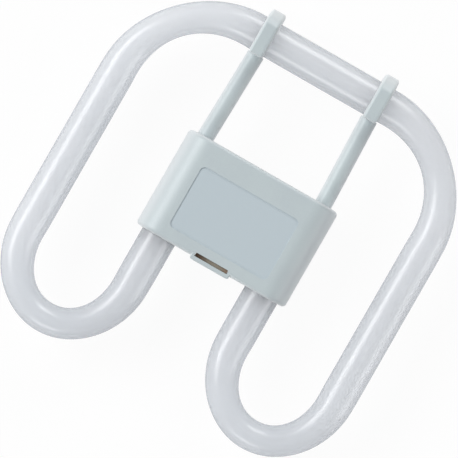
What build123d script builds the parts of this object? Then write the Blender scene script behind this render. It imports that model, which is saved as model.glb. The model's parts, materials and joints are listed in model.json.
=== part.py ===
"""A square compact fluorescent lamp: a flat bent discharge tube, its plug-in base and two clip arms.

The lamp lies on its back, with the front of its base facing +Z and the clips towards +Y.
The origin is at the centre of the rim of the plug collar. Lengths are in millimetres.
"""

import os
from itertools import zip_longest
from math import cos, pi, radians, sin

from build123d import *

os.makedirs("parts", exist_ok=True)

# Discharge tube
overall_width = 138.0  # across the two outer runs
loop_reach = 69.5  # from the middle of the base to the bottoms of the loops
tip_reach = 70.5  # from the middle of the base to the tips of the clips
tube_diameter = 13.1
leg_pitch = 41.5  # between the two legs that enter the base
corner_radius = 34.8  # centre line of the two upper bends
loop_depth = 24.5  # centre line of a lower bend, from its start down to its lowest point
neck_ratio = 0.845  # thickness of a drawn bend in the lamp's plane, against the straight tube
neck_lead = 6.0  # straight length beside a bend where the glass is drawn too
neck_length = 33.0  # from the full tube to the full neck, along the tube
bend_stations = 15  # sections along a bend, an odd count so that one is at its middle
dome_round = 4.0  # shoulder of a leg's closed end
pinch_width = 8.0  # flat glass press that seals a leg
pinch_thickness = 3.2
pinch_round = 1.0
pinch_length = 7.0
pinch_gap = 7.6  # from the tip of a pinch to the upper wall of the base

# Base
base_height = 38.4  # along the legs
base_wall = 1.8
seal_wall = 1.0  # silicone ring between a leg and the base
seal_length = 6.0
end_round = 1.5  # rounded edges of the base's two ends
seam_chamfer = 0.25  # fine groove where the two covers meet
leg_clearance = 0.15
fit_gap = 0.05  # between pieces that seat on a curved face

# Label field, left bare
label_width = 39.2
label_height = 24.2
label_corner = 2.0
label_drop = 2.1  # below the middle of the base
label_depth = 0.35

# Latch tab, slot and spring
tab_width = 15.5
tab_reach = 1.2  # past the lower end of the base
tab_corner = 0.9
tab_round = 0.4
tab_inner_wall = 1.3
slot_width = 13.1
slot_height = 1.4
slot_lift = 0.35  # above the lower end of the base
slot_corner = 0.3
spring_thickness = 0.4
spring_side_gap = 0.2
spring_bend = 0.5  # centre line of the folded corner
spring_depth = 1.5  # front lip over the spring
spring_length = 12.0  # long leg of the spring, towards the rear

# Plug collar and contact pins
collar_depth = 8.8
collar_width = 30.0
collar_height = 24.0
collar_corner = 4.0
collar_wall = 2.0
collar_foot = 0.8  # fillet where the collar meets the base
rim_round = 0.5
pin_diameter = 2.35
pin_pitch = 8.0
pin_recess = 1.0  # from the collar's rim to the tips
pin_tip_round = 0.8
pin_root_diameter = 3.0  # staked in the rear wall of the base
pin_root_reach = 0.6  # of the root, into the collar
pin_flange_diameter = 4.2
pin_flange = 0.8
pin_tail = 3.2
pin_bore = 0.9  # takes the wire
pin_bore_depth = 2.4
pin_clearance = 0.03

# Arms and their clips
arm_diameter = 6.25
arm_pitch = 48.05  # where the arms leave the base
arm_clearance = 0.1
arm_flange_diameter = 8.2
arm_flange = 1.6
clip_pitch = 45.95
clip_width = 5.6
clip_overhang = 3.5  # past the outer edge of the tube
clip_gap = 0.1
clip_web = 1.0  # between the tube and the foot of the clip
clip_reach = 3.9  # behind the axis of the tube, so that the mouth grips
clip_round = 1.2
clip_knee = 2.5  # between the flat front and the round top
clip_heel = 6.0  # where the flat front rolls down to the arm

# Posts and pegs that align the covers
post_diameter = 3.6
post_bite = 0.4  # overlap of a post with the wall beside it
post_spacing = 0.6  # between a lower post and a seal
peg_diameter = 2.0
peg_length = 3.0

# Starter, capacitor and wiring
starter_diameter = 8.0
starter_length = 20.0
starter_tip_round = 3.2
starter_base_round = 1.2
starter_drop = 10.0  # from the upper wall to the axis of the starter
starter_gap = 0.6  # over the capacitor
cradle_pitch = 15.0
cradle_thickness = 1.5
cradle_rise = 2.4
capacitor_width = 11.0
capacitor_height = 7.0
capacitor_thickness = 3.6
capacitor_round = 1.0
splice_diameter = 2.0
splice_length = 3.0
splice_top_gap = 2.2  # from the flange of an arm to the top of a splice
splice_side_gap = 0.7  # from a splice to the leg of the tube beside it
wire_diameter = 0.6
wire_bend = 0.8  # centre line of each bend
wire_spacing = 0.9  # between two wires in one splice
electrode_spacing = 4.0  # between the two wires of a leg
starter_wire_spacing = 2.4
starter_wire_reach = 1.3  # from the starter's end to the upright wire
starter_wire_stub = 0.6  # straight wire where it leaves the starter
feed_rise = 1.2  # wires over a splice
lead_reach = 2.4  # pin lead, from the pinch to its first bend
lead_rise = 1.8  # pin lead, over the tail of the pin

# Levels and places that follow
tube_r = tube_diameter / 2
base_radius = tube_r + seal_wall + base_wall
axis_z = collar_depth + base_radius
front_z = axis_z + base_radius
floor_z = collar_depth + base_wall
inner_front_z = front_z - base_wall
end_y = base_height / 2
inner_y = end_y - base_wall
leg_x = leg_pitch / 2
run_x = overall_width / 2 - tube_r
loop_x = (run_x + leg_x) / 2
loop_half_width = (run_x - leg_x) / 2
bar_y = tip_reach - clip_overhang - tube_r
corner_x = run_x - corner_radius
corner_y = bar_y - corner_radius
pinch_y = inner_y - pinch_gap
leg_end_y = pinch_y - pinch_length
seal_r = tube_r + seal_wall - fit_gap
sides = {"left": -1, "right": 1}


def drawn_radius(distance):
    """Half the thickness of the tube, at a distance from where its glass starts to thin."""
    share = min(distance / neck_length, 1.0)
    return tube_r * (1 - (1 - neck_ratio) * share**2 * (3 - 2 * share))


def stations(centre, half_width, depth, start, turn):
    """Section planes of a clockwise elliptical bend and its straight leads, with each section's radius."""
    bend_length = radians(turn) * (half_width + depth) / 2
    length = bend_length + 2 * neck_lead
    for step in range(bend_stations):
        place = length * step / (bend_stations - 1)
        along_bend = min(max(place - neck_lead, 0), bend_length)
        angle = radians(start) - radians(turn) * along_bend / bend_length
        forward = Vector(half_width * sin(angle), -depth * cos(angle)).normalized()
        on_bend = Vector(*centre, axis_z) + Vector(half_width * cos(angle), depth * sin(angle))
        origin = on_bend + forward * (place - neck_lead - along_bend)
        plane = Plane(origin=origin, x_dir=(0, 0, 1), z_dir=forward)
        yield plane, drawn_radius(min(place, length - place))


# Discharge tube: five straight runs joined by four drawn bends, and two pinched ends
loop_half_length = (loop_half_width + loop_depth) / 2 * pi / 2
loop_y = loop_depth + drawn_radius(neck_lead + loop_half_length) - loop_reach
bends = [
    ((-loop_x, loop_y), loop_half_width, loop_depth, 0, 180),
    ((-corner_x, corner_y), corner_radius, corner_radius, 180, 90),
    ((corner_x, corner_y), corner_radius, corner_radius, 90, 90),
    ((loop_x, loop_y), loop_half_width, loop_depth, 0, 180),
]
run_low_y = loop_y + neck_lead
run_high_y = corner_y - neck_lead
bar_end_x = corner_x - neck_lead
runs = [
    ((-leg_x, leg_end_y), (-leg_x, run_low_y)),
    ((-run_x, run_low_y), (-run_x, run_high_y)),
    ((-bar_end_x, bar_y), (bar_end_x, bar_y)),
    ((run_x, run_high_y), (run_x, run_low_y)),
    ((leg_x, run_low_y), (leg_x, leg_end_y)),
]

with BuildPart() as discharge_tube:
    for (start, end), bend in zip_longest(runs, bends):
        run = Vector(*end) - Vector(*start)
        with BuildSketch(Plane(origin=(*start, axis_z), x_dir=(0, 0, 1), z_dir=run)):
            Circle(tube_r)
        extrude(amount=run.length)
        if bend:
            for section_plane, thin_r in stations(*bend):
                with BuildSketch(section_plane):
                    Ellipse(tube_r, thin_r)
            loft()
    flat_ends = discharge_tube.faces().filter_by(Axis.Y)
    leg_ends = flat_ends.filter_by(lambda f: f.center().Y > leg_end_y - fit_gap)
    fillet(leg_ends.edges(), dome_round)
    with BuildSketch(Plane.XZ.offset(dome_round - leg_end_y)):
        with Locations((-leg_x, axis_z), (leg_x, axis_z)):
            RectangleRounded(pinch_width, pinch_thickness, pinch_round)
    extrude(amount=-dome_round - pinch_length)
discharge_tube.part.label = "discharge_tube"
export_step(discharge_tube.part, "parts/discharge_tube.step")

# Base: one hollow form, which the parting plane at the tube's axis then cuts into two covers
slot_low_y = slot_lift - end_y
slot_high_y = slot_low_y + slot_height
pocket_y = slot_high_y + spring_thickness + 2 * fit_gap
tab_low_y = -end_y - tab_reach
tab_high_y = pocket_y + tab_inner_wall
spring_high_z = front_z - spring_depth - fit_gap
spring_low_z = spring_high_z - spring_length
post_y = inner_y - post_diameter / 2 + post_bite
post_x = leg_x - seal_r - post_diameter / 2 - post_spacing
post_places = [(0, post_y), (-post_x, -post_y), (post_x, -post_y)]

with BuildPart() as tab_form:
    with BuildSketch(Plane.XY.offset(collar_depth)) as tab_outline:
        with Locations((0, (tab_low_y + tab_high_y) / 2)):
            Rectangle(tab_width, tab_high_y - tab_low_y)
        fillet(tab_outline.vertices().group_by(Axis.Y)[0], tab_corner)
    extrude(amount=2 * base_radius)
    tab_rims = tab_form.faces().filter_by(Axis.Z).edges()
    fillet(tab_rims.filter_by(lambda e: e.center().Y < tab_high_y - fit_gap), tab_round)

with BuildPart() as base_form:
    with BuildSketch(Plane.XZ):
        with Locations((0, axis_z)):
            SlotCenterToCenter(leg_pitch, 2 * base_radius)
    extrude(amount=end_y, both=True)
    fillet(base_form.faces().filter_by(Axis.Y).edges(), end_round)
    with BuildSketch(Plane.XZ):
        with Locations((0, axis_z)):
            SlotCenterToCenter(leg_pitch, 2 * (base_radius - base_wall))
    extrude(amount=inner_y, both=True, mode=Mode.SUBTRACT)
    add(tab_form.part)
    with BuildSketch(Plane.XY.offset(collar_depth)):
        with Locations((0, (slot_low_y + slot_high_y) / 2)):
            RectangleRounded(slot_width, slot_height, slot_corner)
    extrude(amount=2 * base_radius, mode=Mode.SUBTRACT)
    with BuildSketch(Plane.XY.offset(spring_low_z - fit_gap)):
        with Locations((0, (slot_low_y + pocket_y) / 2)):
            Rectangle(slot_width, pocket_y - slot_low_y)
    extrude(amount=spring_length + 2 * fit_gap, mode=Mode.SUBTRACT)
    with BuildSketch(Plane.XZ.offset(inner_y)):
        with Locations((-leg_x, axis_z), (leg_x, axis_z)):
            Circle(tube_r + leg_clearance)
    extrude(amount=base_wall, mode=Mode.SUBTRACT)
    with BuildSketch(Plane.XZ.offset(-end_y)):
        with Locations((-arm_pitch / 2, axis_z), (arm_pitch / 2, axis_z)):
            Circle(arm_diameter / 2 + arm_clearance)
    extrude(amount=base_wall, mode=Mode.SUBTRACT)

parting = Plane.XY.offset(axis_z)


def seam_edges(cover):
    """The outer edges of a cover along the parting plane, between the legs, the arms and the tab."""
    outer = cover.edges().filter_by_position(Axis.Z, axis_z - fit_gap, axis_z + fit_gap)
    side_x = leg_x + base_radius - end_round
    return outer.filter_by(
        lambda e: abs(e.center().X) > side_x
        or end_y - fit_gap < abs(e.center().Y) < end_y + fit_gap
    )


# Front cover: the label field and the sockets of the pegs
with BuildPart() as front_cover:
    add(base_form.part)
    split(bisect_by=parting, keep=Keep.TOP)
    chamfer(seam_edges(front_cover), seam_chamfer)
    with BuildSketch(Plane.XY.offset(front_z)):
        with Locations((0, -label_drop)):
            RectangleRounded(label_width, label_height, label_corner)
    extrude(amount=-label_depth, mode=Mode.SUBTRACT)
    with BuildSketch(parting):
        with Locations(*post_places):
            Circle(post_diameter / 2)
    extrude(amount=inner_front_z - axis_z)
    with BuildSketch(parting):
        with Locations(*post_places):
            Circle(peg_diameter / 2 + fit_gap)
    extrude(amount=peg_length + fit_gap, mode=Mode.SUBTRACT)
front_cover.part.label = "front_cover"
export_step(front_cover.part, "parts/front_cover.step")

# Rear cover: the plug collar, the posts with their pegs, and the cradle of the starter
starter_y = inner_y - starter_drop
starter_z = floor_z + capacitor_thickness + starter_gap + starter_diameter / 2
cradle_high_z = starter_z - starter_diameter / 2 + cradle_rise
pin_places = [(side * pin_pitch / 2, 0) for side in sides.values()]

with BuildPart() as rear_cover:
    add(base_form.part)
    split(bisect_by=parting, keep=Keep.BOTTOM)
    chamfer(seam_edges(rear_cover), seam_chamfer)
    with BuildSketch(Plane.XY):
        RectangleRounded(collar_width, collar_height, collar_corner)
        RectangleRounded(
            collar_width - 2 * collar_wall,
            collar_height - 2 * collar_wall,
            collar_corner - collar_wall,
            mode=Mode.SUBTRACT,
        )
    extrude(amount=collar_depth)
    fillet(rear_cover.faces().filter_by(Axis.Z).sort_by(Axis.Z)[0].edges(), rim_round)
    rear_edges = rear_cover.edges()
    rear_edges = rear_edges.filter_by_position(Axis.Z, collar_depth - fit_gap, collar_depth + fit_gap)
    within_ends = rear_edges.filter_by(lambda e: abs(e.center().Y) < collar_height / 2 + fit_gap)
    collar_feet = within_ends.filter_by(
        lambda e: abs(e.center().X) > (collar_width - collar_wall) / 2
        or abs(e.center().Y) > (collar_height - collar_wall) / 2
    )
    fillet(collar_feet, collar_foot)
    with BuildSketch(Plane.XY.offset(collar_depth)):
        with Locations(*pin_places):
            Circle(pin_root_diameter / 2 + pin_clearance)
    extrude(amount=base_wall, mode=Mode.SUBTRACT)
    with BuildSketch(Plane.XY.offset(floor_z)):
        with Locations(*post_places):
            Circle(post_diameter / 2)
    extrude(amount=axis_z - floor_z)
    with BuildSketch(parting):
        with Locations(*post_places):
            Circle(peg_diameter / 2)
    extrude(amount=peg_length)
    for side in sides.values():
        with BuildSketch(Plane.YZ.offset(side * cradle_pitch / 2)):
            with Locations((starter_y, (floor_z + cradle_high_z) / 2)):
                Rectangle(starter_diameter, cradle_high_z - floor_z)
            with Locations((starter_y, starter_z)):
                Circle(starter_diameter / 2 + fit_gap, mode=Mode.SUBTRACT)
        extrude(amount=cradle_thickness / 2, both=True)
rear_cover.part.label = "rear_cover"
export_step(rear_cover.part, "parts/rear_cover.step")

# Latch spring: a bronze strip folded across the slot
with BuildPart() as latch_spring:
    strip_y = slot_high_y + fit_gap + spring_thickness / 2
    strip_z = spring_high_z - spring_thickness / 2
    with BuildSketch(Plane.YZ):
        with BuildLine():
            FilletPolyline(
                (slot_low_y + fit_gap, strip_z),
                (strip_y, strip_z),
                (strip_y, spring_low_z),
                radius=spring_bend,
            )
        trace(line_width=spring_thickness)
    extrude(amount=slot_width / 2 - spring_side_gap, both=True)
latch_spring.part.label = "latch_spring"
export_step(latch_spring.part, "parts/latch_spring.step")

# Arms: a leaning rod with a flange inside the base and a clip that opens to the rear
clip_outer_r = tube_r + clip_overhang
clip_inner_r = tube_r + clip_gap
clip_foot_y = bar_y - clip_inner_r - clip_web
clip_high_z = axis_z + base_radius
clip_low_z = axis_z - clip_reach

for hand, side in sides.items():
    root = Vector(side * arm_pitch / 2, inner_y - arm_flange, axis_z)
    foot = Vector(side * clip_pitch / 2, clip_foot_y, axis_z)
    with BuildPart() as support_arm:
        with BuildSketch(Plane.YZ.offset(side * clip_pitch / 2)) as clip_profile:
            with Locations((bar_y, axis_z)):
                Circle(clip_outer_r)
            with Locations(((clip_foot_y + bar_y) / 2, axis_z)):
                Rectangle(bar_y - clip_foot_y, 2 * clip_outer_r)
            with Locations((clip_foot_y, clip_low_z)):
                Rectangle(
                    bar_y + clip_outer_r - clip_foot_y,
                    clip_high_z - clip_low_z,
                    align=Align.MIN,
                    mode=Mode.INTERSECT,
                )
            fillet(clip_profile.vertices().group_by(Axis.Z)[-1].sort_by(Axis.Y)[-1], clip_knee)
            fillet(clip_profile.vertices().group_by(Axis.Z)[-1].sort_by(Axis.Y)[0], clip_heel)
            with Locations((bar_y, axis_z)):
                Circle(clip_inner_r, mode=Mode.SUBTRACT)
        extrude(amount=clip_width / 2, both=True)
        outline = support_arm.faces().filter_by(Axis.X).edges()
        outer = outline.filter_by(
            lambda e: (e.center() - Vector(e.center().X, bar_y, axis_z)).length > clip_inner_r
            and e.center().Z > clip_low_z + fit_gap
            and e.center().Y > clip_foot_y + fit_gap
        )
        fillet(outer, clip_round)
        with BuildSketch(Plane(origin=root, z_dir=foot - root)):
            Circle(arm_diameter / 2)
        extrude(amount=(foot - root).length + clip_web / 2)
        with BuildSketch(Plane.XZ.offset(-inner_y)):
            with Locations((side * arm_pitch / 2, axis_z)):
                Circle(arm_flange_diameter / 2)
        extrude(amount=arm_flange)
    support_arm.part.label = f"support_arm_{hand}"
    export_step(support_arm.part, f"parts/support_arm_{hand}.step")

# Seals: silicone rings that seat the legs in the base
for hand, side in sides.items():
    with BuildPart() as tube_seal:
        with BuildSketch(Plane.XZ.offset(inner_y)):
            with Locations((side * leg_x, axis_z)):
                Circle(seal_r)
                Circle(tube_r + fit_gap, mode=Mode.SUBTRACT)
        extrude(amount=-seal_length)
    tube_seal.part.label = f"tube_seal_{hand}"
    export_step(tube_seal.part, f"parts/tube_seal_{hand}.step")

# Contact pins: a shank, a staked root, a flange on the floor of the base and a bored tail for the wire
tail_z = floor_z + pin_flange + pin_tail

for hand, side in sides.items():
    pin_x = side * pin_pitch / 2
    with BuildPart() as contact_pin:
        with BuildSketch(Plane.XY.offset(pin_recess)):
            with Locations((pin_x, 0)):
                Circle(pin_diameter / 2)
        extrude(amount=tail_z - pin_recess)
        fillet(contact_pin.edges().sort_by(Axis.Z)[0], pin_tip_round)
        with BuildSketch(Plane.XY.offset(collar_depth - pin_root_reach)):
            with Locations((pin_x, 0)):
                Circle(pin_root_diameter / 2)
        extrude(amount=pin_root_reach + base_wall)
        with BuildSketch(Plane.XY.offset(floor_z)):
            with Locations((pin_x, 0)):
                Circle(pin_flange_diameter / 2)
        extrude(amount=pin_flange)
        with BuildSketch(Plane.XY.offset(tail_z)):
            with Locations((pin_x, 0)):
                Circle(pin_bore / 2)
        extrude(amount=-pin_bore_depth, mode=Mode.SUBTRACT)
    contact_pin.part.label = f"contact_pin_{hand}"
    export_step(contact_pin.part, f"parts/contact_pin_{hand}.step")

# Starter: a sealed glass bottle that lies in its cradle
with BuildPart() as starter_bulb:
    with BuildSketch(Plane.YZ.offset(-starter_length / 2)):
        with Locations((starter_y, starter_z)):
            Circle(starter_diameter / 2)
    extrude(amount=starter_length)
    fillet(starter_bulb.edges().group_by(Axis.X)[-1], starter_tip_round)
    fillet(starter_bulb.edges().group_by(Axis.X)[0], starter_base_round)
starter_bulb.part.label = "starter_bulb"
export_step(starter_bulb.part, "parts/starter_bulb.step")

# Capacitor: a dipped block on the floor of the base, under the starter
with BuildPart() as capacitor:
    with BuildSketch(Plane.XY.offset(floor_z)):
        with Locations((0, starter_y)):
            Rectangle(capacitor_width, capacitor_height)
    extrude(amount=capacitor_thickness)
    fillet(capacitor.edges().filter_by(Axis.Z), capacitor_round)
capacitor.part.label = "capacitor"
export_step(capacitor.part, "parts/capacitor.step")

# Splices: crimped barrels beside the starter
splice_x = leg_x - tube_r - splice_side_gap - splice_diameter / 2
splice_high_y = inner_y - arm_flange - splice_top_gap
splice_low_y = splice_high_y - splice_length

for hand, side in sides.items():
    with BuildPart() as splice:
        with BuildSketch(Plane.XZ.offset(-splice_high_y)):
            with Locations((side * splice_x, axis_z)):
                Circle(splice_diameter / 2)
        extrude(amount=splice_length)
    splice.part.label = f"splice_{hand}"
    export_step(splice.part, f"parts/splice_{hand}.step")

# Wires: each runs straight between its bends and ends on the pieces that it joins
inner_wire_x = splice_x - wire_spacing / 2
outer_wire_x = splice_x + wire_spacing / 2
feed_y = splice_high_y + feed_rise
lead_y = pinch_y + lead_reach
lead_z = tail_z + lead_rise
capacitor_wire_z = floor_z + capacitor_thickness / 2
capacitor_wire_x = capacitor_width / 2 - capacitor_round - wire_diameter / 2
over_starter_z = (starter_z + starter_diameter / 2 + inner_front_z) / 2
starter_low_z = starter_z - starter_wire_spacing / 2
starter_high_z = starter_z + starter_wire_spacing / 2
starter_side_x = -starter_length / 2 - starter_wire_reach

wires = {
    "starter_leg_left": [
        (-starter_length / 2, starter_y, starter_low_z),
        (-starter_length / 2 - starter_wire_stub, starter_y, starter_low_z),
        (-inner_wire_x, starter_y, axis_z),
        (-inner_wire_x, splice_low_y, axis_z),
    ],
    "starter_leg_right": [
        (-starter_length / 2, starter_y, starter_high_z),
        (starter_side_x, starter_y, starter_high_z),
        (starter_side_x, starter_y, over_starter_z),
        (inner_wire_x, starter_y, over_starter_z),
        (inner_wire_x, starter_y, axis_z),
        (inner_wire_x, splice_low_y, axis_z),
    ],
}
for hand, side in sides.items():
    lead_x = leg_x - electrode_spacing / 2
    feed_x = leg_x + electrode_spacing / 2
    wires[f"pin_lead_{hand}"] = [
        (side * lead_x, pinch_y, axis_z),
        (side * lead_x, lead_y, axis_z),
        (side * lead_x, lead_y, lead_z),
        (side * splice_x, lead_y, lead_z),
        (side * splice_x, 0, lead_z),
        (side * pin_pitch / 2, 0, lead_z),
        (side * pin_pitch / 2, 0, tail_z - pin_bore_depth),
    ]
    wires[f"starter_feed_{hand}"] = [
        (side * feed_x, pinch_y, axis_z),
        (side * feed_x, feed_y, axis_z),
        (side * outer_wire_x, feed_y, axis_z),
        (side * outer_wire_x, splice_high_y, axis_z),
    ]
    wires[f"capacitor_leg_{hand}"] = [
        (side * capacitor_wire_x, starter_y + capacitor_height / 2, capacitor_wire_z),
        (side * capacitor_wire_x, feed_y, capacitor_wire_z),
        (side * inner_wire_x, feed_y, capacitor_wire_z),
        (side * inner_wire_x, feed_y, axis_z),
        (side * inner_wire_x, splice_high_y, axis_z),
    ]

for name, points in wires.items():
    with BuildPart() as wire:
        with BuildLine():
            FilletPolyline(*points, radius=wire_bend)
        with BuildSketch(Plane(origin=points[0], z_dir=Vector(points[1]) - Vector(points[0]))):
            Circle(wire_diameter / 2)
        sweep()
    wire.part.label = name
    export_step(wire.part, f"parts/{name}.step")
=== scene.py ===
# %% [markdown]
# # A square compact fluorescent lamp
# One long glass tube, white inside, is bent flat into a square. Both its ends go into a plastic base in
# the middle, and two plastic arms reach from the base to clip the tube's top run. The packed solids give
# every size and place in metres, so this lesson never measures anything twice: it loads them, remodels
# what needs a finer mesh, and gives each surface the finish that it has on a new lamp.

# %% Load the solids
import json
from math import cos, pi, radians, sin

import bmesh
import bpy
from mathutils import Matrix, Vector


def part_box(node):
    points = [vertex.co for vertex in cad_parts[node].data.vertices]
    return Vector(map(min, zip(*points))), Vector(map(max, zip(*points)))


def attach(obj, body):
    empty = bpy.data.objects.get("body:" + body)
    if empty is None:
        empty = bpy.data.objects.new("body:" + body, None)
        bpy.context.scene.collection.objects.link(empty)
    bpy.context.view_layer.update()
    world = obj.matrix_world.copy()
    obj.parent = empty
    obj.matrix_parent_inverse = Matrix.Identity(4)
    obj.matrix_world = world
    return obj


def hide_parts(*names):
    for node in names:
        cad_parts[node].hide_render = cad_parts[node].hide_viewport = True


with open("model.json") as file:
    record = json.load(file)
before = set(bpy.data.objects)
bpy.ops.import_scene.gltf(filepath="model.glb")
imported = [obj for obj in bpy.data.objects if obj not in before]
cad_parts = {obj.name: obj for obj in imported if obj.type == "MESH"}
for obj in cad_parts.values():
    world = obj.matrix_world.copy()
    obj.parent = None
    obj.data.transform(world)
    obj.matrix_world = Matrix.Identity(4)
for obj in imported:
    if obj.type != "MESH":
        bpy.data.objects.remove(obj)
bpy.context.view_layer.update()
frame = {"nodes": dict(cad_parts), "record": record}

MM = 0.001

# %% [markdown]
# ## The tube's box
# The lamp is flat: the axis of its tube lies in one plane, and the rest is built around it. The sizes could
# be typed in again, but two copies drift apart, so they are read off the boxes of the solids. The tube fills
# its box from the lowest point to the highest, which gives its radius and the height of its axis.

# %% Read the tube's box
tube_low, tube_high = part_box("discharge_tube")
TUBE_R = (tube_high.z - tube_low.z) / 2
AXIS_Z = (tube_high.z + tube_low.z) / 2
print("tube radius in mm:", round(TUBE_R / MM, 2), "axis at:", round(AXIS_Z / MM, 2))

# %% [markdown]
# ## Camera
# The lamp was photographed square on from far away, and the picture was turned: its clips point to the
# upper right. The lamp itself could be turned, but it has to stay in the frame of its solids. So the camera
# looks straight down at a lamp that lies on its back, and rolls by that angle. A long lens from nearly a
# metre away keeps the perspective weak.

# %% Place the camera
FRAME_PIXELS = 458
PIXELS_PER_METRE = 2837.0
ROLL = radians(29.85)
CAMERA_HEIGHT = 0.85
AIM = Vector((-0.6 * MM, -4.72 * MM, AXIS_Z))

camera = bpy.data.objects.new("camera", bpy.data.cameras.new("camera"))
bpy.context.scene.collection.objects.link(camera)
bpy.context.scene.camera = camera
camera.location = AIM + Vector((0, 0, CAMERA_HEIGHT))
camera.rotation_euler = (0, 0, ROLL)
camera.data.lens = camera.data.sensor_width * CAMERA_HEIGHT * PIXELS_PER_METRE / FRAME_PIXELS
print("lens in mm:", round(camera.data.lens, 1))

# %% [markdown]
# ## Shader maths
# A material is a graph of nodes, and long graphs are hard to read as calls. This small class wraps one
# socket, so that `0.4 + 0.1 * grain` adds its Math nodes by itself. One method makes any node, and the
# others name the few kinds that the finishes need.

# %% Wrap a socket


class Shade:
    """A socket of a node tree, which plain Python maths can use."""

    def __init__(self, tree, socket=None):
        self.tree = tree
        self.socket = socket

    def node(self, kind, settings=None, inputs=None, output=0):
        """Add a node: its settings first, then the values or links of its sockets."""
        made = self.tree.nodes.new(kind)
        for name, value in (settings or {}).items():
            setattr(made, name, value)
        for name, value in (inputs or {}).items():
            if isinstance(value, Shade):
                self.tree.links.new(value.socket, made.inputs[name])
            else:
                made.inputs[name].default_value = value
        return Shade(self.tree, made.outputs[output])

    def maths(self, operation, first, second):
        return self.node("ShaderNodeMath", {"operation": operation}, {0: first, 1: second})

    def __add__(self, other):
        return self.maths("ADD", self, other)

    def __radd__(self, other):
        return self.maths("ADD", other, self)

    def __sub__(self, other):
        return self.maths("SUBTRACT", self, other)

    def __rsub__(self, other):
        return self.maths("SUBTRACT", other, self)

    def __mul__(self, other):
        return self.maths("MULTIPLY", self, other)

    def __rmul__(self, other):
        return self.maths("MULTIPLY", other, self)

    def larger(self, other):
        return self.maths("MAXIMUM", self, other)

    def blend(self, first, second):
        """A colour that goes from the first to the second as this value goes from 0 to 1."""
        return self.node("ShaderNodeMix", {"data_type": "RGBA"}, {0: self, 6: first, 7: second}, 2)

    def step(self, low, high):
        """0 below low, 1 above high, and smooth between them."""
        inputs = {"Value": self, "From Min": low, "From Max": high}
        return self.node("ShaderNodeMapRange", {"interpolation_type": "SMOOTHSTEP"}, inputs)

    def axis(self, name):
        """How far this place lies along one axis."""
        return self.node("ShaderNodeSeparateXYZ", {}, {"Vector": self}, name)

    def slant(self):
        """0 where the surface faces the eye, rising to 1 at its rim."""
        return self.node("ShaderNodeLayerWeight", {}, {"Blend": 0.5}, "Facing")

    def noise(self, size, detail=2.0, roughness=0.5):
        """Clouds on this place, about as large as the given size."""
        inputs = {"Vector": self, "Scale": 1 / size, "Detail": detail, "Roughness": roughness}
        return self.node("ShaderNodeTexNoise", {"normalize": True}, inputs, "Fac")

    def bump(self, depth, strength):
        """A surface normal from this height, which runs from 0 to 1, over a depth in metres."""
        return self.node("ShaderNodeBump", {}, {"Height": self, "Distance": depth, "Strength": strength})


print("a socket knows:", ", ".join(name for name in vars(Shade) if not name.startswith("_")))

# %% [markdown]
# ## Starting a finish
# Every finish here is one Principled shader. What varies over the surface is linked to a socket, and what
# stays the same is set on the socket itself. Patterns read the object's own coordinates, so they need no
# unwrapping and stay at their real size. Colours are picked on a screen, but light adds up in linear
# numbers, so each one is converted first.

# %% Start a material


def srgb(red, green, blue):
    """A colour as a screen shows it, from 0 to 255, as the linear colour that a shader needs."""
    shares = [channel / 255 for channel in (red, green, blue)]
    linear = [s / 12.92 if s <= 0.04045 else ((s + 0.055) / 1.055) ** 2.4 for s in shares]
    return (*linear, 1.0)


def start_material(name):
    """A new material, its shader node, and the place on the object that its patterns read."""
    material = bpy.data.materials.new(name)
    material.use_nodes = True
    shader = material.node_tree.nodes["Principled BSDF"]
    place = Shade(material.node_tree).node("ShaderNodeTexCoord", output="Object")
    return material, shader, place


def link(shade, shader, socket):
    """Feed one socket of a material's shader."""
    shade.tree.links.new(shade.socket, shader.inputs[socket])


def hold(shader, constants):
    """Set the sockets of a material's shader that stay the same all over."""
    for socket, value in constants.items():
        shader.inputs[socket].default_value = value


print("half grey on a screen is", round(srgb(128, 128, 128)[0], 3), "in light")

# %% [markdown]
# ## Coated glass
# The tube is clear glass with a white phosphor powder on its inside. From outside it looks like porcelain: a
# soft white, faintly cloudy where the powder is thicker, under a smooth glass skin. It could be a clear shell
# around a white core, but one surface with a coat looks the same from outside and is one piece. Light
# wanders far inside the powder, so subsurface scattering evens out the shading. Towards the rims the eye
# looks through more and more glass, so a tinted coat turns them grey, and a blend by slant paints them darker
# still as painted shade. The tight bends at the bottom are drawn thin, and their colour is painted a shade
# greyer: painted shade.

# %% Make the coated glass
GLASS_WHITE = srgb(197, 202, 211)
GLASS_CLOUD = srgb(191, 196, 205)
# Grey of the painted shade on the loops at the bottom.
GLASS_LOOP_SHADE = srgb(180, 186, 195)
# Grey of the painted shade at the rims.
GLASS_RIM_SHADE = srgb(146, 152, 161)
COAT_TINT = (0.965, 0.967, 0.969, 1.0)
CLOUD_SIZE = 22 * MM
POWDER_SIZE = 0.7 * MM
SMEAR_SIZE = 9 * MM
WAVE_SIZE = 14 * MM
WAVE_DEPTH = 0.06 * MM
LIGHT_WANDER = 80 * MM
LOOP_DEPTH = 24.5 * MM
LOOP_SHADE_REACH = 1.4 * LOOP_DEPTH


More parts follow.
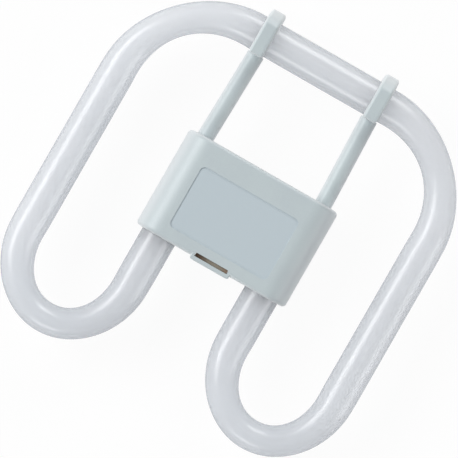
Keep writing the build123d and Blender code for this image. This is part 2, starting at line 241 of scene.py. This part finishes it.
def coated_glass():
    material, shader, place = start_material("coated_glass")
    cloud = place.noise(CLOUD_SIZE, detail=3.0)
    powder = place.noise(POWDER_SIZE, detail=3.0, roughness=0.7)
    white = (0.75 * cloud + 0.25 * powder).step(0.25, 0.75).blend(GLASS_WHITE, GLASS_CLOUD)
    # A mask over the loops at the bottom, whose colour is painted greyer: painted shade.
    drawn = 1 - place.axis("Y").step(tube_low.y, tube_low.y + LOOP_SHADE_REACH)
    # The blend by slant paints the rims darker: painted shade, on top of the coat tint's real greying.
    painted_rim_shade = place.slant().step(0.4, 0.9)
    smear = place.noise(SMEAR_SIZE, detail=4.0, roughness=0.6)
    wave = place.noise(WAVE_SIZE, detail=1.0)
    link(painted_rim_shade.blend(drawn.blend(white, GLASS_LOOP_SHADE), GLASS_RIM_SHADE), shader, "Base Color")
    link(0.18 + 0.08 * smear, shader, "Roughness")
    link(wave.bump(WAVE_DEPTH, strength=0.03), shader, "Normal")
    hold(shader, {"IOR": 1.5, "Coat Weight": 1.0, "Coat IOR": 1.01, "Coat Roughness": 0.1})
    hold(shader, {"Coat Tint": COAT_TINT, "Subsurface Weight": 1.0})
    hold(shader, {"Subsurface Radius": (1.0, 1.0, 1.0), "Subsurface Scale": LIGHT_WANDER})
    return material


glass = coated_glass()
print("made", glass.name)

# %% [markdown]
# ## Housing plastic
# The base and the arms are moulded in a pale blue-grey plastic. The mould is spark-eroded, which leaves a
# fine even grain that softens every reflection. A picture of the grain would have to be wrapped around every
# edge, so two noises make it instead: a grain of about a third of a millimetre for the bump, and a slow
# cloud that shifts the colour by a few steps. At a slant the colour is painted paler, a painted sheen, and
# a little of the shader's own sheen is added.

# %% Make the housing plastic
TONE_SIZE = 16 * MM
GRAIN_SIZE = 0.35 * MM
GRAIN_DEPTH = 0.05 * MM


def moulded_plastic(name, light, dark, painted_sheen, gloss):
    """A moulded plastic with a painted sheen that pales it at a slant, with its shader, place and colour for
    what builds on it.
    """
    material, shader, place = start_material(name)
    grain = place.noise(GRAIN_SIZE, roughness=0.6)
    tone = 0.6 * place.noise(TONE_SIZE, detail=3.0) + 0.4 * grain
    front = tone.step(0.3, 0.7).blend(light, dark)
    # Painted sheen: the colour is painted paler where the surface turns away from the eye.
    colour = place.slant().step(0.05, 0.5).blend(front, painted_sheen)
    link(colour, shader, "Base Color")
    link(gloss + 0.12 * grain, shader, "Roughness")
    link(grain.bump(GRAIN_DEPTH, strength=0.35), shader, "Normal")
    hold(shader, {"Specular IOR Level": 0.62, "Sheen Weight": 0.35, "Sheen Roughness": 0.5})
    return material, shader, place, colour


plastic, plastic_shader, plastic_place, plastic_colour = moulded_plastic(
    "housing_plastic", srgb(190, 201, 203), srgb(184, 194, 198), srgb(213, 219, 221), gloss=0.34
)
print("made", plastic.name)

# %% [markdown]
# The label field is a shallow recess whose floor is polished in the mould, so it looks a little bluer than
# the grained frame around it. It could have a material of its own, but it is part of the cover's one mesh.
# So a mask picks the field by its place: inside its outline, and below the front.

# %% Tint the label field
LABEL_HALF_WIDTH = 19.6 * MM
LABEL_HALF_HEIGHT = 12.1 * MM
LABEL_DROP = 2.1 * MM
LABEL_DEPTH = 0.35 * MM
LABEL_TINT = srgb(186, 198, 204)
BLUR = 0.1 * MM


def inside(value, low, high):
    """1 between two places on an axis and 0 outside them."""
    return value.step(low - BLUR, low + BLUR) * (1 - value.step(high - BLUR, high + BLUR))


front_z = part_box("front_cover")[1].z
x, y, z = (plastic_place.axis(name) for name in "XYZ")
field = inside(x, -LABEL_HALF_WIDTH, LABEL_HALF_WIDTH)
field = field * inside(y, -LABEL_HALF_HEIGHT - LABEL_DROP, LABEL_HALF_HEIGHT - LABEL_DROP)
field = field * inside(z, front_z - 2 * LABEL_DEPTH, front_z - LABEL_DEPTH / 2)
link(field.blend(plastic_colour, LABEL_TINT), plastic_shader, "Base Color")
print("label field at z", round((front_z - LABEL_DEPTH) / MM, 2))

# %% [markdown]
# ## Metals
# The pins are turned brass, so fine rings run around them. Wires are tinned, and splices are crimped steel.
# Each could have a pattern of its own, but all of them are a metal with fine marks, so one noise makes them
# all, stretched along the axes as each needs. Most of these are shut inside the base, but a finish costs
# little and shows whenever the base is opened.

# %% Make the metals
SCRATCH_DEPTH = 0.01 * MM


def metal(name, light, dark, roughness, streak):
    """A metal whose tone and gloss vary in streaks, stretched along the axes by the given sizes."""
    material, shader, place = start_material(name)
    scale = [1 / size for size in streak]
    stretched = place.node("ShaderNodeMapping", {}, {"Vector": place, "Scale": scale})
    lines = stretched.noise(1.0, detail=3.0)
    link(lines.step(0.3, 0.7).blend(light, dark), shader, "Base Color")
    link(roughness + 0.2 * lines, shader, "Roughness")
    link(lines.bump(SCRATCH_DEPTH, strength=0.4), shader, "Normal")
    hold(shader, {"Metallic": 1.0})
    return material


TURNED_RINGS = (4 * MM, 4 * MM, 0.12 * MM)
TIN_SPECKS = (0.5 * MM, 0.5 * MM, 0.5 * MM)
CRIMP_MARKS = (0.3 * MM, 0.8 * MM, 0.3 * MM)
brass = metal("pin_brass", srgb(214, 186, 120), srgb(186, 154, 92), 0.22, TURNED_RINGS)
tinned = metal("wire_copper", srgb(196, 190, 182), srgb(168, 158, 146), 0.3, TIN_SPECKS)
crimped = metal("splice_metal", srgb(184, 184, 184), srgb(150, 150, 152), 0.35, CRIMP_MARKS)
print("made", brass.name, tinned.name, crimped.name)

# %% [markdown]
# The latch spring is a bronze strip that has gone brown. Its left end is painted darker still: painted
# shade, where the slot's wall keeps the light off. A plain brown would look painted, so two steps along the
# strip change its tone, and a noise shifts them so that the stain and the shade have no straight border.

# %% Make the spring's bronze
STAIN_AND_SHADE_SIZE = 1.2 * MM
STAIN_AND_SHADE_REACH = 3 * MM
DULL_SIZE = 0.5 * MM
PIT_SIZE = 0.25 * MM
PIT_DEPTH = 0.02 * MM
LEFT_TURN = (-6 * MM, 1 * MM)
RIGHT_TURN = (3 * MM, 6.5 * MM)


def aged_and_shaded_strip(name, left, middle, right, roughness):
    """A dull metal strip across the lamp whose tone changes from its left end to its right end."""
    material, shader, place = start_material(name)
    across = place.axis("X") + STAIN_AND_SHADE_REACH * (place.noise(STAIN_AND_SHADE_SIZE, detail=3.0) - 0.5)
    # The darker colour at the left end is painted shade.
    left_half = across.step(*LEFT_TURN).blend(left, middle)
    link(across.step(*RIGHT_TURN).blend(left_half, right), shader, "Base Color")
    link(roughness + 0.2 * place.noise(DULL_SIZE), shader, "Roughness")
    link(place.noise(PIT_SIZE).bump(PIT_DEPTH, strength=0.5), shader, "Normal")
    hold(shader, {"Metallic": 1.0})
    return material


# The first, darkest colour is painted shade at the strip's left end, deep in the slot.
bronze = aged_and_shaded_strip("spring_bronze", srgb(84, 68, 57), srgb(138, 131, 119), srgb(134, 114, 98), 0.4)
print("made", bronze.name)

# %% [markdown]
# ## Silicone, resin and the starter's glass
# The seals are moulded in silicone, and the capacitor is dipped in resin. They could have functions of their
# own, but both have a fine skin like the housing's, so its function makes them, with other colours. The
# starter is a small bulb of clear glass. It could be plain transmission, but a faint change of tone and gloss
# shows its surface.

# %% Make the small finishes
MELT_SIZE = 3 * MM
TOUCH_SIZE = 1.5 * MM


def clear_glass(name, light, dark):
    """Clear glass with a faint change of tone and gloss."""
    material, shader, place = start_material(name)
    link(place.noise(MELT_SIZE).blend(light, dark), shader, "Base Color")
    link(0.04 + 0.06 * place.noise(TOUCH_SIZE), shader, "Roughness")
    hold(shader, {"Transmission Weight": 0.85, "IOR": 1.5})
    return material


silicone = moulded_plastic(
    "seal_silicone", srgb(232, 231, 226), srgb(222, 221, 216), srgb(236, 235, 231), gloss=0.5
)[0]
resin = moulded_plastic(
    "capacitor_resin", srgb(198, 112, 44), srgb(176, 94, 34), srgb(206, 130, 66), gloss=0.2
)[0]
starter_glass = clear_glass("starter_glass", srgb(225, 235, 236), srgb(205, 218, 222))
print("made", silicone.name, resin.name, starter_glass.name)

# %% [markdown]
# ## Dress the solids
# A solid that already has the right shape keeps its mesh and gets a finish in its material slot. The pieces
# could be dressed one by one, but the record names a slot for every node, so one table from slot to finish
# dresses the whole lamp.

# %% Put the finishes on the solids
FINISHES = {
    "coated_glass": glass,
    "housing_plastic": plastic,
    "spring_bronze": bronze,
    "seal_silicone": silicone,
    "pin_brass": brass,
    "wire_copper": tinned,
    "splice_metal": crimped,
    "starter_glass": starter_glass,
    "capacitor_resin": resin,
}
for subpart in frame["record"]["subparts"]:
    for place_on in frame["nodes"][subpart["node"]].material_slots:
        place_on.material = FINISHES[subpart["material_slot"]]

# %% [markdown]
# ## The discharge tube
# A maker bends such a tube hot over formers, so the glass gets narrower across a bend and stays full height.
# It could be a curve with a round bevel, but a bevel can't be thinner across than up and down. So a ring of
# edges will be extruded from frame to frame: each frame is a matrix that says where the ring is, which way it
# faces and how wide it is. First comes one bend, with the straight lead at each side of it.

# %% Follow one bend
NECK_RATIO = 0.845
NECK_LEAD = 6.0 * MM
NECK_LENGTH = 33.0 * MM
RING_STEP = 1.4 * MM
UP = Vector((0, 0, 1))


def drawn_share(distance):
    """Width of the glass against the straight tube, at a distance from where it starts to thin."""
    share = min(distance / NECK_LENGTH, 1)
    return 1 - (1 - NECK_RATIO) * share**2 * (3 - 2 * share)


def bend_frames(centre, half_width, depth, start, turn):
    """Ring frames of a clockwise elliptical bend and of the straight lead at each side of it."""
    arc = turn * (half_width + depth) / 2
    length = arc + 2 * NECK_LEAD
    steps = round(length / RING_STEP)
    for step in range(steps + 1):
        place = length * step / steps
        along = min(max(place - NECK_LEAD, 0), arc)
        angle = start - turn * along / arc
        forward = Vector((half_width * sin(angle), -depth * cos(angle), 0)).normalized()
        on_bend = centre + Vector((half_width * cos(angle), depth * sin(angle), 0))
        spot = on_bend + (place - NECK_LEAD - along) * forward
        thin = TUBE_R * drawn_share(min(place, length - place))
        ring = Matrix((thin * UP.cross(forward), TUBE_R * UP, forward)).transposed()
        yield Matrix.Translation(spot) @ ring.to_4x4()


print("a bend is drawn to", NECK_RATIO, "of its width over", round(NECK_LENGTH / MM, 1), "mm")

# %% [markdown]
# The tube goes up from its left leg's loop, round two wide corners and down to its right leg's loop. The runs
# between the bends need no frames of their own, because extruding from the end of one bend to the start of
# the next makes them. Where the runs and legs lie is read off the boxes of the tube and of a seal.

# %% Walk along the tube
CORNER_RADIUS = 34.8 * MM

seal_low, seal_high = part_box("tube_seal_right")
leg_x = (seal_low.x + seal_high.x) / 2
run_x = tube_high.x - TUBE_R
loop_x = (run_x + leg_x) / 2
loop_half_width = (run_x - leg_x) / 2
loop_half_length = (loop_half_width + LOOP_DEPTH) / 2 * pi / 2
loop_y = tube_low.y + LOOP_DEPTH + TUBE_R * drawn_share(NECK_LEAD + loop_half_length)
corner_x = run_x - CORNER_RADIUS
corner_y = tube_high.y - TUBE_R - CORNER_RADIUS
bends = [
    (Vector((-loop_x, loop_y, AXIS_Z)), loop_half_width, LOOP_DEPTH, 0, pi),
    (Vector((-corner_x, corner_y, AXIS_Z)), CORNER_RADIUS, CORNER_RADIUS, pi, pi / 2),
    (Vector((corner_x, corner_y, AXIS_Z)), CORNER_RADIUS, CORNER_RADIUS, pi / 2, pi / 2),
    (Vector((loop_x, loop_y, AXIS_Z)), loop_half_width, LOOP_DEPTH, 0, pi),
]
stations = [ring for bend in bends for ring in bend_frames(*bend)]
print("rings along the tube:", len(stations), "leg at", round(leg_x / MM, 2), "run at", round(run_x / MM, 2))

# %% [markdown]
# A circle on the first frame is the start of the mesh. Rings could be placed one by one and bridged, but
# extruding the last ring and moving it from one frame to the next does both at once.

# %% Extrude the glass
RING_SIDES = 72


def grow(mesh, edges, matrix):
    """Extrude a ring of edges and move the new ring."""
    grown = bmesh.ops.extrude_edge_only(mesh, edges=edges)["geom"]
    verts = [v for v in grown if isinstance(v, bmesh.types.BMVert)]
    bmesh.ops.transform(mesh, matrix=matrix, verts=verts)
    return [e for e in grown if isinstance(e, bmesh.types.BMEdge)]


tube_mesh = bmesh.new()
bmesh.ops.create_circle(tube_mesh, segments=RING_SIDES, radius=1.0, matrix=stations[0])
first_ring = list(tube_mesh.edges)
last_ring = first_ring
for last, ring in zip(stations, stations[1:]):
    last_ring = grow(tube_mesh, last_ring, ring @ last.inverted())
print("extruded", len(tube_mesh.faces), "faces")

# %% [markdown]
# The tube's ends are shut inside the base. Each is rounded off and pressed flat around its wires. A flat cap
# would do while the base is closed, but not when it is opened, so the ring goes on from the leg: it shrinks
# over a quarter circle, is squeezed to the press, and is closed.

# %% Close the ends
DOME_ROUND = 4.0 * MM
DOME_STEPS = 6
PINCH_LENGTH = 7.0 * MM
PINCH_WIDTH = 8.0 * MM
PINCH_THICKNESS = 3.2 * MM

pinch_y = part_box("starter_feed_left")[0].y
leg_end_y = pinch_y - PINCH_LENGTH


def close_leg(mesh, edges, ring):
    """Round off one end of the tube, press it flat and close it."""
    places = [(TUBE_R, TUBE_R, leg_end_y - DOME_ROUND)]
    for step in range(1, DOME_STEPS + 1):
        angle = pi / 2 * step / DOME_STEPS
        width = TUBE_R - DOME_ROUND * (1 - cos(angle))
        places.append((width, width, leg_end_y - DOME_ROUND * (1 - sin(angle))))
    places.append((PINCH_WIDTH / 2, PINCH_THICKNESS / 2, leg_end_y))
    places.append((PINCH_WIDTH / 2, PINCH_THICKNESS / 2, pinch_y))
    last = ring
    for width, height, end_y in places:
        turn = ring.to_3x3().normalized() @ Matrix.Diagonal((width, height, 1))
        new = Matrix.Translation((ring.translation.x, end_y, AXIS_Z)) @ turn.to_4x4()
        edges = grow(mesh, edges, new @ last.inverted())
        last = new
    bmesh.ops.edgeloop_fill(mesh, edges=edges)


close_leg(tube_mesh, last_ring, stations[-1])
close_leg(tube_mesh, first_ring, stations[0])
bmesh.ops.recalc_face_normals(tube_mesh, faces=tube_mesh.faces)
print("closed the tube, now", len(tube_mesh.faces), "faces")

# %% [markdown]
# The finished mesh becomes an object. Flat faces would show as facets in the reflections, so they are shaded
# smooth, apart from the edges of the press. The tube rides on the lamp's one body and stands in for the
# solid, which stays for collision.

# %% Put the tube in place
SHARP_ANGLE = radians(40)


def into_scene(name, mesh):
    """Turn a finished bmesh into an object of the scene."""
    data = bpy.data.meshes.new(name)
    mesh.to_mesh(data)
    mesh.free()
    made = bpy.data.objects.new(name, data)
    bpy.context.scene.collection.objects.link(made)
    return made


glass_tube = into_scene("glass_tube", tube_mesh)
glass_tube.data.polygons.foreach_set("use_smooth", [True] * len(glass_tube.data.polygons))
glass_tube.data.set_sharp_from_angle(angle=SHARP_ANGLE)
glass_tube.data.materials.append(glass)
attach(glass_tube, "root")
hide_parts("discharge_tube")
print(glass_tube.name, "stands in for the solid tube")

# %% [markdown]
# ## Floor
# The lamp lies on white paper. A plain white plane would either come out grey or throw too much light back
# at the lamp. So to the camera, in reflections and through glass, the paper is pure white, and only a small
# share of it is real paper, which keeps a faint shadow. The Light Path node tells these rays from the light
# that bounces.

# %% Lay the floor
FLOOR_SIZE = 6.0
GLOW_SHARE = 0.94
PAPER_GRAIN = 4 * MM

floor_mesh = bmesh.new()
bmesh.ops.create_grid(floor_mesh, x_segments=1, y_segments=1, size=FLOOR_SIZE / 2)
floor = into_scene("floor", floor_mesh)


def seen_white(tree):
    """1 for rays from the camera, in mirrors or through glass, and 0 for light that bounces."""
    path = tree.nodes.new("ShaderNodeLightPath")
    names = ("Is Camera Ray", "Is Glossy Ray", "Is Transmission Ray")
    camera_ray, mirrored_ray, glass_ray = (Shade(tree, path.outputs[name]) for name in names)
    return glass_ray.larger(camera_ray.larger(mirrored_ray))


paper, paper_shader, paper_place = start_material("white_paper")
grain = paper_place.noise(PAPER_GRAIN, detail=3.0)
link(grain.blend(srgb(247, 247, 247), srgb(244, 244, 244)), paper_shader, "Base Color")
hold(paper_shader, {"Roughness": 0.9})
tree = paper.node_tree
glow = Shade(tree).node("ShaderNodeEmission", {}, {"Color": (1, 1, 1, 1), "Strength": 1.0})
share = GLOW_SHARE * seen_white(tree)
body = Shade(tree, paper_shader.outputs["BSDF"])
mixed = share.node("ShaderNodeMixShader", {}, {0: share, 1: body, 2: glow})
tree.links.new(mixed.socket, tree.nodes["Material Output"].inputs["Surface"])
floor.data.materials.append(paper)
print("floor laid at z = 0,", FLOOR_SIZE, "m wide")

# %% [markdown]
# ## Sky
# A studio's ceiling and walls give back only a little of what the softboxes send out. A picture of a room
# could stand for them, but a plain world colour is enough for a soft fill. It is white in the same rays as
# the paper, and weak as a light.

# %% Light the sky
SKY_LEVEL = 0.16
SKY_COLOUR = (0.97, 0.985, 1.0, 1.0)

world = bpy.data.worlds.new("sky")
world.use_nodes = True
bpy.context.scene.world = world
sky_tree = world.node_tree
seen = seen_white(sky_tree)
background = sky_tree.nodes["Background"]
sky_tree.links.new((seen + SKY_LEVEL * (1 - seen)).socket, background.inputs["Strength"])
background.inputs["Color"].default_value = SKY_COLOUR
print("sky level", SKY_LEVEL)

# %% [markdown]
# ## Softboxes
# The streaks on the glass show where the studio's lights stood. The main light is a large softbox at the
# lamp's left with a brighter core, which draws the streak along the runs. Softboxes beyond the clips and
# below the bends edge the top run and the loops, and a narrow panel at the right opens the shadows. Each
# could be placed by its coordinates, but a streak follows from an angle and a brightness, so these are what
# is given, and the energy is worked out from the brightness and the box's size.

# %% Set up the softboxes
LAMP_CENTRE = Vector((0, 0, AXIS_Z))


def softbox(name, towards, off_axis, distance, tall, wide, radiance):
    """A soft light at an angle off the camera's axis, on one side of the lamp, that faces the lamp."""
    angle = radians(off_axis)
    side = Vector((*towards, 0)).normalized()
    way = side * sin(angle) + UP * cos(angle)
    light = bpy.data.lights.new(name, "AREA")
    light.shape = "RECTANGLE"
    light.size = wide
    light.size_y = tall
    light.energy = radiance * pi * tall * wide
    lamp = bpy.data.objects.new(name, light)
    bpy.context.scene.collection.objects.link(lamp)
    across = UP.cross(side)
    turn = Matrix((across, way.cross(across), way)).transposed()
    lamp.matrix_world = Matrix.Translation(LAMP_CENTRE + distance * way) @ turn.to_4x4()
    print(name, "energy", round(light.energy, 2))


softbox("softbox_left", (-1, 0), off_axis=49, distance=4.0, tall=2.4, wide=3.6, radiance=3.85)
softbox("softbox_left_core", (-1, 0), off_axis=51, distance=3.9, tall=1.1, wide=2.6, radiance=2.8)
softbox("softbox_top", (0, 1), off_axis=61, distance=2.0, tall=1.0, wide=0.8, radiance=5.2)
softbox("softbox_bottom", (0, -1), off_axis=64, distance=2.0, tall=0.65, wide=0.9, radiance=4.2)
softbox("panel_right", (1, 0), off_axis=68, distance=2.0, tall=1.4, wide=0.75, radiance=2.7)

# %% [markdown] ## Finish The picture is shown without any film look, so that a colour comes out as it was
# written.

# %% Finish
bpy.context.scene.view_settings.view_transform = "Standard"
